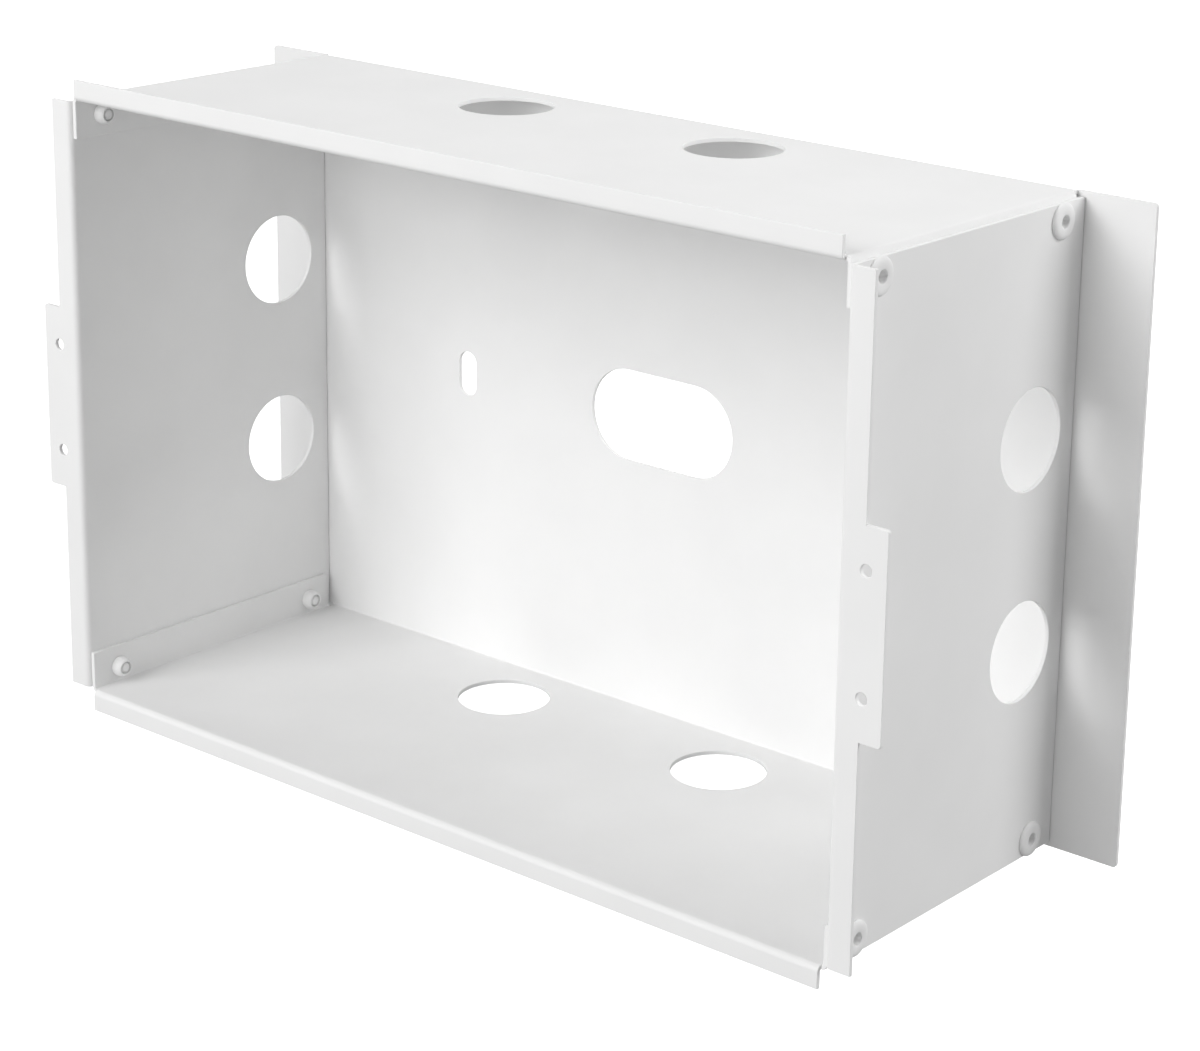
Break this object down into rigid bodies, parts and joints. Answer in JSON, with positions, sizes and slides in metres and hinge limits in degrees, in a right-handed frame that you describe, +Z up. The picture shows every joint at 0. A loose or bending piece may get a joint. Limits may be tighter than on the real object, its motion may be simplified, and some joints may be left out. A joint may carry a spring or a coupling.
{
  "type": "speaker back box",
  "caption": "Open-fronted white sheet-steel back box for a flush speaker, with cable entries in its walls, screw ears on the front flanges and a winged back plate.",
  "frame": {"origin": "centre of the open front, in the plane of the front flanges' faces and midway between the ear holes", "axes": "+X to the right as seen from the front, +Y into the box towards the wall, +Z up"},
  "size_m": [0.2554, 0.081, 0.1532],
  "materials": {
    "white_powder_coat": "satin"
  },
  "bodies": {
    "root": {"folded_shell": "white_powder_coat", "left_side_panel": "white_powder_coat", "right_side_panel": "white_powder_coat", "blind_rivets": "white_powder_coat"}
  },
  "joints": []
}
